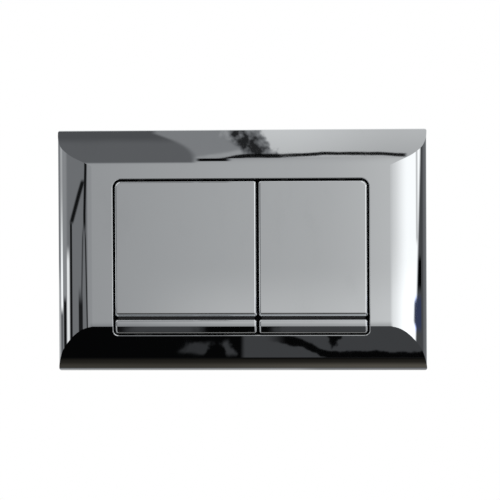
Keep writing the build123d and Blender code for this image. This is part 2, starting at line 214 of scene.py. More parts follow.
class Graph:
    """A node tree being drawn up."""

    def __init__(self, tree: bpy.types.NodeTree) -> None:
        """Start from an empty tree.

        Args:
            tree: the tree to draw in; its nodes are cleared.
        """
        self.tree = tree
        tree.nodes.clear()

    def node(
        self,
        kind: str,
        settings: dict[str, Any] | None = None,
        inputs: dict[str | int, Any] | None = None,
    ) -> Outputs:
        """Add a node of any type.

        Args:
            kind: the node's type.
            settings: its properties, set first.
            inputs: values or terms for its sockets, by name or number.

        Returns:
            The node with its outputs.
        """
        made = self.tree.nodes.new(kind)
        for name, value in (settings or {}).items():
            setattr(made, name, value)
        for name, value in (inputs or {}).items():
            if isinstance(value, Term):
                self.tree.links.new(value.socket, made.inputs[name])
            else:
                made.inputs[name].default_value = value
        return Outputs(self, made)

    def parts(self, vector: Term) -> tuple[Term, Term, Term]:
        """X, Y and Z of a vector."""
        split = self.node("ShaderNodeSeparateXYZ", inputs={0: vector})
        return split["X"], split["Y"], split["Z"]

    def mix(self, share: Any, first: Any, second: Any) -> Term:
        """Mix two colours.

        Args:
            share: share of the second colour.
            first: the first colour, a term or RGBA.
            second: the second colour, a term or RGBA.

        Returns:
            The mixed colour.
        """
        sockets = {0: share, 6: first, 7: second}
        return self.node("ShaderNodeMix", {"data_type": "RGBA"}, sockets)[2]

    def noise(
        self, where: Term, scale: float, detail: float = 2.0, roughness: float = 0.5
    ) -> Term:
        """Noise from 0 to 1.

        Args:
            where: the point it is read at.
            scale: features per metre.
            detail: number of finer layers.
            roughness: weight of the finer layers.

        Returns:
            The noise value.
        """
        inputs = {"Vector": where, "Scale": scale, "Detail": detail, "Roughness": roughness}
        return self.node("ShaderNodeTexNoise", inputs=inputs)["Fac"]

    def stretched(self, where: Term, scale: Sequence[float]) -> Term:
        """Point scaled along its axes.

        Args:
            where: the point.
            scale: factors for X, Y and Z.

        Returns:
            The scaled point.
        """
        return self.node("ShaderNodeMapping", inputs={"Vector": where, "Scale": scale})["Vector"]


Colour = tuple[float, float, float]


def rgba(colour: Colour) -> tuple[float, float, float, float]:
    """Opaque RGBA of an RGB colour."""
    return (*colour, 1.0)


@dataclass(frozen=True)
class PlateForm:
    """Outer form of the plate: a flat front with rolled sides and a slope at top and bottom.

    A drop is how far the form lies behind the flat front, and a lean is the sine of its tilt,
    positive towards +X or +Z.
    """

    half_width: float = 115.0 * MM
    half_height: float = 75.0 * MM
    depth: float = 14.0 * MM
    roll_start: float = 92.5 * MM
    side_rim: float = 3.0 * MM
    edge_radius: float = 7.0 * MM
    top_crease: float = 55.0 * MM
    top_drop: float = 12.0 * MM
    top_radius: float = 9.0 * MM
    bottom_crease: float = 47.3 * MM
    bottom_drop: float = 6.9 * MM
    bottom_radius: float = 2.0 * MM
    bottom_roll: float = 66.7 * MM
    end_rim: float = 2.0 * MM
    groove_top: float = -38.6 * MM
    groove_edge: float = 2.3 * MM
    bevel_tilt: float = math.radians(44.6)

    @staticmethod
    def fall(sine: Term, radius: float) -> Term:
        """Drop along an arc that starts level, to the place where its tilt has this sine."""
        return (1.0 - (1.0 - sine * sine).math("SQRT")) * radius

    def crease(self, along: Term, apex: float, radius: float, tilt: float) -> tuple[Term, Term]:
        """Drop and lean of a flat slope that follows a rounded crease.

        Args:
            along: distance from the plate's middle towards the slope.
            apex: where front and slope would meet without the rounding.
            radius: the crease's radius.
            tilt: the slope's tilt, in radians.

        Returns:
            The drop and the lean.
        """
        start = apex - radius * math.tan(tilt / 2)
        end = start + radius * math.sin(tilt)
        lean = ((along - start) / radius).between(0.0, math.sin(tilt))
        return self.fall(lean, radius) + (along - end).math("MAXIMUM", 0.0) * math.tan(tilt), lean

    def slopes(self, z: Term) -> tuple[Term, Term]:
        """Drop and lean of the top slope, the bottom slope and the roll below that.

        Args:
            z: height above the plate's middle.

        Returns:
            The drop and the lean.
        """
        top_tilt = math.atan2(self.top_drop, self.half_height - self.top_crease)
        top, top_lean = self.crease(z, self.top_crease, self.top_radius, top_tilt)
        tilt = math.atan2(self.bottom_drop, self.bottom_roll - self.bottom_crease)
        low = -z
        flat = low.math("MINIMUM", self.bottom_roll)
        slope, slope_lean = self.crease(flat, self.bottom_crease, self.bottom_radius, tilt)
        height = self.half_height - self.bottom_roll
        drop = self.depth - self.end_rim - self.bottom_drop
        radius = (height**2 + drop**2) / (2 * (drop * math.cos(tilt) - height * math.sin(tilt)))
        lean = ((low - self.bottom_roll) / radius + math.sin(tilt)).between(math.sin(tilt), 0.95)
        roll = (math.cos(tilt) - (1.0 - lean * lean).math("SQRT")) * radius
        return top + slope + roll, top_lean - slope_lean - lean + math.sin(tilt)

    def rolls(self, x: Term) -> tuple[Term, Term]:
        """Drop and lean of the rolled sides: a wide arc, then a tight one that ends square.

        Args:
            x: distance to the right of the plate's middle.

        Returns:
            The drop and the lean.
        """
        reach = self.half_width - self.edge_radius - self.roll_start
        drop = self.depth - self.side_rim
        radius = (reach**2 + drop**2 - self.edge_radius**2) / (2 * (drop - self.edge_radius))
        knee = math.sin(math.atan2(reach, radius - drop))
        away = abs(x) - self.roll_start
        wide = (away / radius).between(0.0, knee)
        tight = ((away - reach) / self.edge_radius).between(0.0, 1.0)
        past = away.math("GREATER_THAN", radius * knee)
        far = self.fall(tight, self.edge_radius) + (drop - self.edge_radius)
        lean = wide.towards(past, tight) * x.math("SIGN")
        return self.fall(wide, radius).towards(past, far), lean


@dataclass(frozen=True)
class Finish:
    """What all finishes share: a name, a colour and how the surface varies."""

    name: str
    colour: Colour

    def material(self) -> bpy.types.Material:
        """Make the finish's material.

        Returns:
            A material with a Principled shader, drawn by the finish's own `draw`.
        """
        made = bpy.data.materials.new(self.name)
        made.use_nodes = True
        graph = Graph(made.node_tree)
        place = graph.node("ShaderNodeTexCoord")["Object"]
        shader = graph.node("ShaderNodeBsdfPrincipled", inputs=self.draw(graph, place))
        graph.node("ShaderNodeOutputMaterial", inputs={"Surface": shader["BSDF"]})
        return made

    def draw(self, graph: Graph, place: Term) -> dict[str | int, Any]:
        """Work out the shader's inputs.

        Args:
            graph: the material's tree.
            place: Object coordinates.

        Returns:
            Values and terms for the Principled shader.
        """
        raise NotImplementedError

    def shaded(self, share: float) -> tuple[float, float, float, float]:
        """Opaque RGBA of the colour times a share."""
        red, green, blue = self.colour
        return rgba((share * red, share * green, share * blue))

    def bump(self, graph: Graph, height: Term, depth: float) -> Term:
        """Normal of a raised surface.

        Args:
            graph: the material's tree.
            height: height from 0 to 1.
            depth: what a height of 1 measures, in metres.

        Returns:
            The normal.
        """
        inputs = {"Height": height, "Distance": depth, "Strength": 1.0}
        return graph.node("ShaderNodeBump", inputs=inputs)["Normal"]


@dataclass(frozen=True)
class ChromePlating(Finish):
    """Mirror chrome over a black moulding, which is left unplated behind the plate; deep in its
    gaps the same black is painted shade.

    The plating has faint smears and follows the moulding's slight waviness.
    """

    form: PlateForm = PlateForm()
    # Black of the moulding: unplated behind the plate, and also used as painted shade deep in the
    # gaps.
    moulding_and_gap_shade: Colour = (0.012, 0.012, 0.013)
    roughness: float = 0.008
    bare_and_gap_shade_roughness: float = 0.5
    plated_depth: float = 1.8 * MM
    bare_and_gap_shade_depth: float = 2.4 * MM
    rim: float = 1.0 * MM
    rim_soft: float = 0.4 * MM
    wave_height: float = 0.002 * MM

    def bare_and_gap_shade(self, graph: Graph, place: Term) -> Term:
        """Share of black moulding: unplated behind the plate, and painted shade deep in the gaps.

        Args:
            graph: the material's tree.
            place: Object coordinates.

        Returns:
            0 down to the plated depth behind the outer form and at the rim, 1 from the depth where
            the black begins.
        """
        x, y, z = graph.parts(place)
        drop = self.form.rolls(x)[0].math("MAXIMUM", self.form.slopes(z)[0])
        # Deeper than the plated depth behind the outer form the chrome fades to black: the unplated
        # moulding at the back, and painted shade deep in the gaps.
        deep = (y + self.form.depth - drop).rise(self.plated_depth, self.bare_and_gap_shade_depth)
        side_rim = self.form.half_width - self.rim
        end_rim = self.form.half_height - self.rim
        side = abs(x).rise(side_rim, side_rim + self.rim_soft)
        end = abs(z).rise(end_rim, end_rim + self.rim_soft)
        return deep * (1.0 - side.math("MAXIMUM", end))

    def draw(self, graph: Graph, place: Term) -> dict[str | int, Any]:
        """Mirror with smears, and black moulding that is unplated behind the plate and painted
        shade deep in the gaps, see the class.
        """
        upright = graph.stretched(place, (1.0, 1.0, 0.35))
        smear = graph.noise(upright, scale=60.0, detail=4.0, roughness=0.6).rise(0.45, 0.8)
        speck = graph.noise(place, scale=900.0, detail=1.0)
        shade = (speck - 0.5) * 0.03 + smear * 0.04
        plated = graph.mix(shade.rise(0.0, 0.06), rgba(self.colour), self.shaded(0.96))
        # Share of black: unplated moulding at the back, and painted shade deep in the gaps.
        bare_and_gap_shade = self.bare_and_gap_shade(graph, place)
        wave = graph.noise(place, scale=45.0, detail=1.0)
        return {
            "Base Color": graph.mix(bare_and_gap_shade, plated, rgba(self.moulding_and_gap_shade)),
            "Metallic": 1.0 - bare_and_gap_shade,
            "Roughness": (smear * 0.012 + self.roughness).towards(bare_and_gap_shade, self.bare_and_gap_shade_roughness),
            "Normal": self.bump(graph, wave, self.wave_height),
        }


@dataclass(frozen=True)
class MouldedPlastic(Finish):
    """Moulded plastic with a fine spark-eroded grain and slight flow marks."""

    roughness: float = 0.5
    grain: float = 2200.0
    grain_depth: float = 0.04 * MM

    def draw(self, graph: Graph, place: Term) -> dict[str | int, Any]:
        """Grain, flow marks and a slightly varied colour, see the class."""
        flow = graph.noise(graph.stretched(place, (1.0, 3.0, 0.6)), scale=35.0, detail=3.0)
        grain = graph.noise(place, self.grain, detail=2.0, roughness=0.6)
        return {
            "Base Color": graph.mix(flow.rise(0.3, 0.75), self.shaded(0.82), rgba(self.colour)),
            "Roughness": (grain - 0.5) * 0.16 + (flow - 0.5) * 0.1 + self.roughness,
            "Normal": self.bump(graph, grain, self.grain_depth),
        }


@dataclass(frozen=True)
class DrawnSteel(Finish):
    """Bright steel drawn along one axis, with streaks that way."""

    roughness: float = 0.24
    along: tuple[float, float, float] = (0.04, 1.0, 1.0)
    streak_depth: float = 0.01 * MM

    def draw(self, graph: Graph, place: Term) -> dict[str | int, Any]:
        """Streaks along the bar, see the class."""
        streak = graph.noise(graph.stretched(place, self.along), scale=2600.0, detail=3.0)
        return {
            "Base Color": graph.mix(streak.rise(0.25, 0.7), self.shaded(0.75), rgba(self.colour)),
            "Metallic": 1.0,
            "Roughness": (streak - 0.5) * 0.25 + self.roughness,
            "Normal": self.bump(graph, streak, self.streak_depth),
        }


@dataclass(frozen=True)
class SpringWire(Finish):
    """Drawn spring wire, with streaks along the coil read from the piece's UV map."""

    roughness: float = 0.3

    def draw(self, graph: Graph, place: Term) -> dict[str | int, Any]:
        """Streaks along the wire, see the class."""
        along = graph.node("ShaderNodeUVMap")["UV"]
        streak = graph.noise(graph.stretched(along, (6.0, 14.0, 1.0)), scale=3.0, detail=3.0)
        return {
            "Base Color": graph.mix(streak.rise(0.3, 0.7), self.shaded(0.7), rgba(self.colour)),
            "Metallic": 1.0,
            "Roughness": (streak - 0.5) * 0.3 + self.roughness,
        }


@dataclass(frozen=True)
class ZincPlating(Finish):
    """Zinc plating with faint crystals, and on the studs a screw thread.

    The thread's height is a triangle wave of turns plus length over pitch round each stud's axis.
    """

    roughness: float = 0.34
    stud_x: float = 96 * MM
    pitch: float = 1.0 * MM
    thread_depth: float = 0.5 * MM
    thread: bool = True

    def draw(self, graph: Graph, place: Term) -> dict[str | int, Any]:
        """Crystals and thread, see the class."""
        crystals = {"Vector": place, "Scale": 700.0}
        cells = graph.node("ShaderNodeTexVoronoi", inputs=crystals)["Distance"]
        cloud = graph.noise(place, scale=160.0, detail=3.0)
        dark = (0.72 * self.colour[0], 0.71 * self.colour[1], 0.68 * self.colour[2])
        shade = cells * 0.5 + cloud * 0.6
        sockets = {
            "Base Color": graph.mix(shade.rise(0.2, 0.75), rgba(dark), rgba(self.colour)),
            "Metallic": 1.0,
            "Roughness": (cloud - 0.5) * 0.25 + self.roughness,
        }
        if self.thread:
            x, y, z = graph.parts(place)
            sideways = x - x.math("SIGN") * self.stud_x
            turn = z.math("ARCTAN2", sideways) / (2 * math.pi)
            ridge = (y / self.pitch + turn).math("PINGPONG", 0.5) * 2.0
            sockets["Normal"] = self.bump(graph, ridge, self.thread_depth)
        return sockets


@dataclass(frozen=True)
class SoftRubber(Finish):
    """Matt black rubber with a pale bloom."""

    roughness: float = 0.82
    grain_depth: float = 0.03 * MM

    def draw(self, graph: Graph, place: Term) -> dict[str | int, Any]:
        """Bloom and fine grain, see the class."""
        bloom = graph.noise(place, scale=260.0, detail=4.0, roughness=0.65)
        grain = graph.noise(place, scale=3500.0, detail=1.0)
        pale = tuple(0.04 + part for part in self.colour)
        return {
            "Base Color": graph.mix(bloom.rise(0.5, 0.8), rgba(self.colour), rgba(pale)),
            "Roughness": (bloom - 0.5) * 0.2 + self.roughness,
            "Normal": self.bump(graph, grain, self.grain_depth),
        }


CHROME = ChromePlating("chrome_plating", (0.775, 0.80, 0.815))
BLACK_PLASTIC = MouldedPlastic("black_moulding", (0.028, 0.028, 0.030), roughness=0.48)
WHITE_PLASTIC = MouldedPlastic(
    "white_moulding", (0.80, 0.80, 0.775), roughness=0.38, grain_depth=0.02 * MM
)
GREY_PLASTIC = MouldedPlastic("grey_moulding", (0.30, 0.32, 0.34), roughness=0.44)
PIN_STEEL = DrawnSteel("drawn_pin_steel", (0.62, 0.62, 0.61))
WIRE = SpringWire("spring_wire", (0.56, 0.56, 0.57))
STUD_ZINC = ZincPlating("threaded_zinc", (0.66, 0.67, 0.70))
WASHER_ZINC = ZincPlating("flat_zinc", (0.66, 0.67, 0.70), thread=False)
RUBBER = SoftRubber("buffer_rubber", (0.022, 0.022, 0.024))


class Wardrobe:
    """The materials, each made once."""

    def __init__(self) -> None:
        """Start with none made."""
        self.made: dict[str, bpy.types.Material] = {}

    def material(self, finish: Finish) -> bpy.types.Material:
        """Material of a finish, made at its first use.

        Args:
            finish: the finish.

        Returns:
            Its material.
        """
        if finish.name not in self.made:
            self.made[finish.name] = finish.material()
        return self.made[finish.name]

    def dress_node(self, node: str, finish: Finish) -> None:
        """Put a finish on a CAD node.

        Args:
            node: the node's name.
            finish: the finish it gets.
        """
        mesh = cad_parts[node].data
        mesh.materials.clear()
        mesh.materials.append(self.material(finish))
        LOG.info("%s: %s", node, finish.name)


class ExactShading:
    """Exact normals for the mirror faces on the plate's outer form.

    The edge above the buttons' groove turns down early, like a bevel with rounded ends: its lean
    grows faster than the round's own by the turn rate. All other faces keep their own normals.
    """

    TURN_RATE: float = 4.0
    LEAST_DROOP: float = 0.05
    WALL_LEAN: float = 0.98
    LEAST_LEAN: float = 0.001

    def __init__(self, form: PlateForm, slack: float = 0.008 * MM, likeness: float = 0.95) -> None:
        """Draw up the shared node group.

        Args:
            form: the plate's outer form.
            slack: how far off the form a corner may lie.
            likeness: least cosine between a face and the form there.
        """
        self.group = bpy.data.node_groups.new("exact_normals", "GeometryNodeTree")
        for direction in ("INPUT", "OUTPUT"):
            self.group.interface.new_socket(
                "Geometry", in_out=direction, socket_type="NodeSocketGeometry"
            )
        graph = Graph(self.group)
        given = graph.node("NodeGroupInput")["Geometry"]
        x, y, z = graph.parts(graph.node("GeometryNodeInputPosition")["Position"])
        own = graph.node("GeometryNodeInputNormal")
        by_face = {"domain": "FACE", "data_type": "FLOAT_VECTOR"}
        flat = {"Value": own["True Normal"]}
        facing = graph.node("GeometryNodeFieldOnDomain", by_face, flat)["Value"]
        face_x, face_y, face_z = graph.parts(facing)
        roll_drop, roll_lean = form.rolls(x)
        slope_drop, slope_lean = form.slopes(z)
        roll_up = (1.0 - roll_lean * roll_lean).math("SQRT")
        slope_up = (1.0 - slope_lean * slope_lean).math("SQRT")
        depth = y + form.depth
        roll_fit = face_x * roll_lean - face_y * roll_up
        roll_fit = roll_fit * abs(depth - roll_drop).math("LESS_THAN", slack)
        slope_fit = face_z * slope_lean - face_y * slope_up
        slope_fit = slope_fit * abs(depth - slope_drop).math("LESS_THAN", slack)
        rolled = roll_fit.math("GREATER_THAN", likeness)
        rolled = rolled * (1.0 - slope_fit.math("GREATER_THAN", roll_fit))
        sloped = slope_fit.math("GREATER_THAN", likeness) * (1.0 - rolled)
        own_x, own_y, own_z = graph.parts(own["Normal"])
        lean = (own_x * own_x + own_z * own_z).math("SQRT").math("MAXIMUM", self.LEAST_LEAN)
        steep = (lean * self.TURN_RATE).math("MINIMUM", math.sin(form.bevel_tilt))
        half_edge = form.groove_edge / 2
        turned = own_z.math("LESS_THAN", -self.LEAST_DROOP) * lean.math("LESS_THAN", self.WALL_LEAN)
        turned = turned * depth.math("LESS_THAN", form.groove_edge)
        turned = turned * abs(z - form.groove_top + half_edge).math("LESS_THAN", half_edge)
        turned_x = own_x.towards(turned, own_x * steep / lean)
        turned_y = own_y.towards(turned, -(1.0 - steep * steep).math("SQRT"))
        turned_z = own_z.towards(turned, own_z * steep / lean)
        exact = {
            "X": turned_x.towards(rolled, roll_lean).towards(sloped, 0.0),
            "Y": turned_y.towards(rolled, -roll_up).towards(sloped, -slope_up),
            "Z": turned_z.towards(rolled, 0.0).towards(sloped, slope_lean),
        }
        normal = graph.node("ShaderNodeCombineXYZ", inputs=exact)["Vector"]
        by_corner = {"mode": "FREE", "domain": "CORNER"}
        inputs = {"Mesh": given, "Custom Normal": normal}
        shaded = graph.node("GeometryNodeSetMeshNormal", by_corner, inputs)
        graph.node("NodeGroupOutput", inputs={"Geometry": shaded["Mesh"]})

    def apply(self, node: str) -> None:
        """Shade a CAD node this way, its mesh unchanged."""
        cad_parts[node].modifiers.new("exact_normals", "NODES").node_group = self.group


def sheet(name: str, points: np.ndarray, wrap_rows: bool, wrap_columns: bool) -> bpy.types.Object:
    """Make a mesh object of a grid of points.

    Each cell of the grid becomes one quad, and a wrapped direction joins its last line to its
    first. UV is the place in the grid, from 0 to 1 each way.

    Args:
        name: the object's name.
        points: rows by columns by 3, in metres.
        wrap_rows: whether the last row joins the first.
        wrap_columns: whether the last column joins the first.

    Returns:
        The object, linked to the scene.
    """
    rows, columns = points.shape[:2]
    row = np.arange(rows if wrap_rows else rows - 1)
    column = np.arange(columns if wrap_columns else columns - 1)
    low_row, low_column = np.meshgrid(row, column, indexing="ij")
    high_row = (low_row + 1) % rows
    high_column = (low_column + 1) % columns
    corners = np.stack(
        [
            low_row * columns + low_column,
            low_row * columns + high_column,
            high_row * columns + high_column,
            high_row * columns + low_column,
        ],
        axis=-1,
    )
    mesh = bpy.data.meshes.new(name)
    mesh.from_pydata(points.reshape(-1, 3), [], corners.reshape(-1, 4))
    step = np.array([[0, 0], [0, 1], [1, 1], [1, 0]])
    place = np.stack([low_row, low_column], axis=-1)[:, :, None, :] + step
    uv = place / np.array([len(row), len(column)])
    mesh.uv_layers.new(name="UVMap").uv.foreach_set("vector", uv.astype(np.float32).ravel())
    mesh.polygons.foreach_set("use_smooth", np.ones(len(mesh.polygons), bool))
    mesh.update()
    made = bpy.data.objects.new(name, mesh)
    bpy.context.scene.collection.objects.link(made)
    return made


@dataclass
class FrontPlate:
    """The chrome front plate with its opening."""

    node: str = "bezel"

    def dress(self, wardrobe: Wardrobe, shading: ExactShading) -> None:
        """Plate the node.

        Args:
            wardrobe: the materials.
            shading: shading of mirror faces.
        """
        wardrobe.dress_node(self.node, CHROME)
        shading.apply(self.node)


@dataclass
class FlushButton:
    """One button on its hinge pin."""

    size: Size

    def dress(self, wardrobe: Wardrobe, shading: ExactShading) -> None:
        """Plate the button and finish its pin.

        Args:
            wardrobe: the materials.
            shading: shading of mirror faces.
        """
        wardrobe.dress_node(f"{self.size.word}_button", CHROME)
        shading.apply(f"{self.size.word}_button")
        wardrobe.dress_node(f"{self.size.word}_hinge_pin", PIN_STEEL)


@dataclass
class PushRod:
    """A push rod with its screw-on head, return spring and guide bush."""

    size: Size
    axis_z: float = -10.0 * MM
    spring_front: float = 0.5 * MM
    spring_back: float = 14.0 * MM
    coil_radius: float = 6.0 * MM
    wire_radius: float = 0.45 * MM
    turns: float = 6.0
    closed_turns: float = 0.9
    closing_turns: float = 0.5
    closed_pitch: float = 2.02
    steps: int = 361
    sides: int = 14
    press: float = 5.40 * MM

    def coil_path(self) -> tuple[np.ndarray, np.ndarray]:
        """Middle line of the spring wire and its direction.

        The angle grows evenly. The height climbs by one wire per turn in the closed turns at both
        ends and evenly between them, with the change of climb smoothed by a cosine.

        Returns:
            Points and unit directions, each steps by 3.
        """
        turn = np.linspace(0.0, self.turns, self.steps)
        from_end = np.minimum(turn, self.turns - turn)
        opening = (from_end - self.closed_turns) / self.closing_turns + 0.5
        open_share = 0.5 - 0.5 * np.cos(np.pi * np.clip(opening, 0.0, 1.0))
        wire_climb = self.closed_pitch * self.wire_radius
        total = self.spring_back - self.spring_front - 2 * self.wire_radius
        step = self.turns / (self.steps - 1)
        closed = np.concatenate([[0.0], np.cumsum(((1 - open_share) * wire_climb)[1:] * step)])
        opened = np.concatenate([[0.0], np.cumsum(open_share[1:] * step)])
        height = closed + opened * (total - closed[-1]) / opened[-1]
        angle = 2 * np.pi * turn
        points = np.stack(
            [
                self.size.value + self.coil_radius * np.cos(angle),
                self.spring_front + self.wire_radius + height,
                self.axis_z + self.coil_radius * np.sin(angle),
            ],
            axis=1,
        )
        along = np.gradient(points, axis=0)
        return points, along / np.linalg.norm(along, axis=1, keepdims=True)

    def build_spring(self) -> bpy.types.Object:
        """Build the return spring on the plate's body.

        The surface is a circle of the wire's radius carried along the coil, drawn with the outward
        direction of the coil and its cross product with the path; its two ends shrink to a point.

        Returns:
            The spring.
        """
        path, along = self.coil_path()
        middle = np.array([self.size.value, 0.0, self.axis_z])
        outward = (path - middle) * np.array([1.0, 0.0, 1.0])
        outward -= along * np.sum(outward * along, axis=1, keepdims=True)
        outward /= np.linalg.norm(outward, axis=1, keepdims=True)
        upward = np.cross(along, outward)
        angle = np.linspace(0.0, 2 * np.pi, self.sides, endpoint=False)[None, :, None]
        radius = np.full(self.steps, self.wire_radius)
        radius[[0, -1]] = 0.0
        path[0], path[-1] = path[1], path[-2]
        ring = np.cos(angle) * outward[:, None, :] + np.sin(angle) * upward[:, None, :]
        points = path[:, None, :] + radius[:, None, None] * ring
        name = f"{self.size.word}_coil_spring"
        made = sheet(name, points, wrap_rows=False, wrap_columns=True)
        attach(made, "plate")
        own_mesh(made)
        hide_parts(f"{self.size.word}_return_spring")
        return made

    def dress(self, wardrobe: Wardrobe) -> None:
        """Build the spring and finish rod, head and bush.

        Args:
            wardrobe: the materials.
        """
        spring = self.build_spring()
        spring.data.materials.append(wardrobe.material(WIRE))
        LOG.info("%s: %d faces, %s", spring.name, len(spring.data.polygons), WIRE.name)
        wardrobe.dress_node(f"{self.size.word}_push_rod", WHITE_PLASTIC)
        wardrobe.dress_node(f"{self.size.word}_guide_bush", WHITE_PLASTIC)
        wardrobe.dress_node(f"{self.size.word}_rod_head", GREY_PLASTIC)


@dataclass
class MountingFrame:
    """The black tray behind the front plate and the rubber buffers in it."""

    def dress(self, wardrobe: Wardrobe) -> None:
        """Finish the tray and the buffers.

        Args:
            wardrobe: the materials.
        """
        wardrobe.dress_node("mounting_frame", BLACK_PLASTIC)
        for size in Size:
            for side in Side:
                wardrobe.dress_node(f"{size.word}_{side.name.lower()}_buffer", RUBBER)


@dataclass
class FixingStud:
    """A threaded stud with its washer and thumb nut."""

    side: Side

    def dress(self, wardrobe: Wardrobe) -> None:
        """Finish stud, washer and nut.

        Args:
            wardrobe: the materials.
        """
        word = self.side.name.lower()
        wardrobe.dress_node(f"{word}_fixing_bolt", STUD_ZINC)
        wardrobe.dress_node(f"{word}_washer", WASHER_ZINC)
        wardrobe.dress_node(f"{word}_fixing_nut", GREY_PLASTIC)


@dataclass
class Viewpoint:
    """Where the photograph was taken from."""

    azimuth: float = math.radians(3.88)
    elevation: float = math.radians(1.35)
    roll: float = math.radians(-0.28)
    distance: float = 1.8
    pixels_per_metre: float = 1601.6
    image_pixels: float = 500.0
    left_pixels: float = 7.73
    sensor: float = 36.0
    nearest: float = 0.05
    furthest: float = 50.0

    def place(self) -> None:
        """Make the camera and look through it.

        Its shift is no more than the photograph's framing needs.
        """
        data = bpy.data.cameras.new("viewpoint")
        data.sensor_width = self.sensor
        data.lens = self.pixels_per_metre * self.distance / self.image_pixels * data.sensor_width
        data.shift_x = self.left_pixels / self.image_pixels
        data.clip_start = self.nearest
        data.clip_end = self.furthest
        back = Vector(
            (
                math.sin(self.azimuth) * math.cos(self.elevation),
                -math.cos(self.azimuth) * math.cos(self.elevation),
                math.sin(self.elevation),
            )
        )
        right = Vector((math.cos(self.azimuth), math.sin(self.azimuth), 0.0))
        up = back.cross(right)
        turned_right = right * math.cos(self.roll) + up * math.sin(self.roll)
        turned_up = up * math.cos(self.roll) - right * math.sin(self.roll)
        axes = Matrix((turned_right, turned_up, back)).transposed().to_4x4()
        made = bpy.data.objects.new("viewpoint", data)
        bpy.context.scene.collection.objects.link(made)
        made.matrix_world = Matrix.Translation(back * self.distance) @ axes
        bpy.context.scene.camera = made


DEGREES = 180 / math.pi
STRIPE_DEGREES = 60.0
TOP_SLOPE_PITCH = 62.35
TOP_SLOPE_SPAN = 0.55
BOTTOM_SLOPE_PITCH = -42.04
BOTTOM_SLOPE_SPAN = 0.56
BLACK = 0.003
PLAIN = (1.0, 1.0, 1.0, 1.0)
COOL = (0.96, 0.98, 1.03, 1.0)
BROWN = (1.1, 1.0, 0.82, 1.0)
BLUE = (0.6, 0.75, 1.5, 1.0)


@dataclass(frozen=True)
class Upright:
    """A dark upright on the left wall that begins at some height and runs down.

    Its edges are degrees sideways, and the slant moves them left for each degree below eye level.
    """

    left: float
    right: float
    soft: float
    top: tuple[float, float]
    slant: float = 0.0
    strength: float = 1.0

    def shade(self, sideways: Term, low: Term) -> Term:
        """Share of the upright in a direction."""
        place = sideways + low * self.slant
        return place.band(self.left, self.right, self.soft) * low.rise(*self.top) * self.strength


POST_END = (0.75, 1.15)
UPRIGHTS = {
    "near_foot": Upright(-22.8, -20.2, 1.4, POST_END, slant=-1.6, strength=0.9),
    "spread_foot": Upright(-23.8, -21.0, 1.5, POST_END, slant=2.2, strength=0.7),
    "wide_foot": Upright(-33.4, -25.4, 2.0, (2.0, 2.45), strength=0.97),
    "far_post": Upright(-50.2, -45.8, 1.6, (0.65, 0.85)),
    "last_foot": Upright(-64.5, -58.8, 1.6, (2.2, 2.4)),
}


